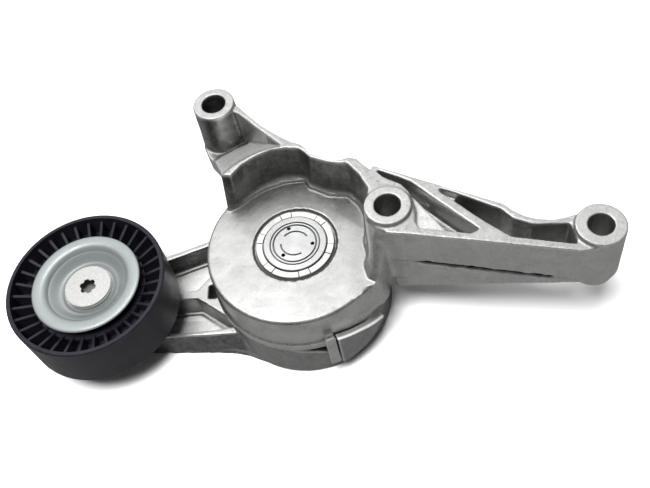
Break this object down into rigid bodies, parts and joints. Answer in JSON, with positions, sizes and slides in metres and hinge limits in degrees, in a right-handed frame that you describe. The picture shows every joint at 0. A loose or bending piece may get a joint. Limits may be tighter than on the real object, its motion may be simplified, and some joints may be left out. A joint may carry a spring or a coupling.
{
  "type": "belt tensioner",
  "caption": "Cast bracket with three bolt bosses and a round spring drum, carrying a sprung lever arm with a smooth, ribbed-web idler pulley on a ball bearing.",
  "frame": {"origin": "on the arm's pivot axis, in the plane of the arm cup's flat bottom, which is the face the part rests on", "axes": "+Z along the pivot from the arm cup to the bracket's mounting faces; +X from the pivot towards the bracket's long leg, with the idler pulley on the -X side; +Y towards the bracket's upper lug"},
  "size_m": [0.2374, 0.1099, 0.0623],
  "materials": {
    "cast_bracket": "as-cast, fine grain, satin",
    "cast_arm": "as-cast, satin",
    "machined_plate": "turned, satin",
    "friction_polymer": "moulded, matt",
    "bush_polymer": "moulded, matt",
    "pulley_polymer": "moulded, glass-filled, satin",
    "zinc_sheet": "pressed, zinc-plated, satin",
    "zinc_bolt": "zinc-plated, grained",
    "shaft_steel": "ground",
    "spring_steel": "drawn wire, oiled",
    "bearing_steel": "ground and polished",
    "seal_rubber": "moulded, matt"
  },
  "bodies": {
    "bracket": {"housing": "cast_bracket", "upper_bush": "bush_polymer", "lower_bush": "bush_polymer", "friction_ring": "friction_polymer", "spring_sleeve": "bush_polymer"},
    "tensioner_arm": {"lever_arm": "cast_arm", "pivot_shaft": "shaft_steel", "retaining_plate": "machined_plate", "damping_band": "friction_polymer", "damper_spring_strip": "spring_steel", "torsion_spring": "spring_steel", "bearing_inner_ring": "bearing_steel", "bearing_spacer": "shaft_steel", "front_shield": "zinc_sheet", "rear_shield": "zinc_sheet", "bolt_washer": "zinc_sheet", "pulley_bolt": "zinc_bolt"},
    "pulley": {"pulley_shell": "pulley_polymer", "bearing_outer_ring": "bearing_steel", "front_seal": "seal_rubber", "rear_seal": "seal_rubber"},
    "ball_train": {"bearing_cage": "bush_polymer", "bearing_balls": "bearing_steel"}
  },
  "joints": [
    {"name": "arm_pivot", "type": "hinge", "parent": "bracket", "child": "tensioner_arm", "pos_m": [0, 0, 0.02], "axis": [0, 0, 1], "range_deg": [0, 55], "stiffness_Nm_per_rad": 23, "springref_deg": -37.24, "deforming": ["torsion_spring"]},
    {"name": "pulley_spin", "type": "hinge", "parent": "tensioner_arm", "child": "pulley", "pos_m": [-0.085, -0.0088, 0.0268], "axis": [0, 0, 1], "continuous": true},
    {"name": "ball_train_spin", "type": "hinge", "parent": "tensioner_arm", "child": "ball_train", "pos_m": [-0.085, -0.0088, 0.0268], "axis": [0, 0, 1], "continuous": true}
  ],
  "couplings": [
    {"joint": "ball_train_spin", "follows": "pulley_spin", "ratio": 0.614}
  ]
}
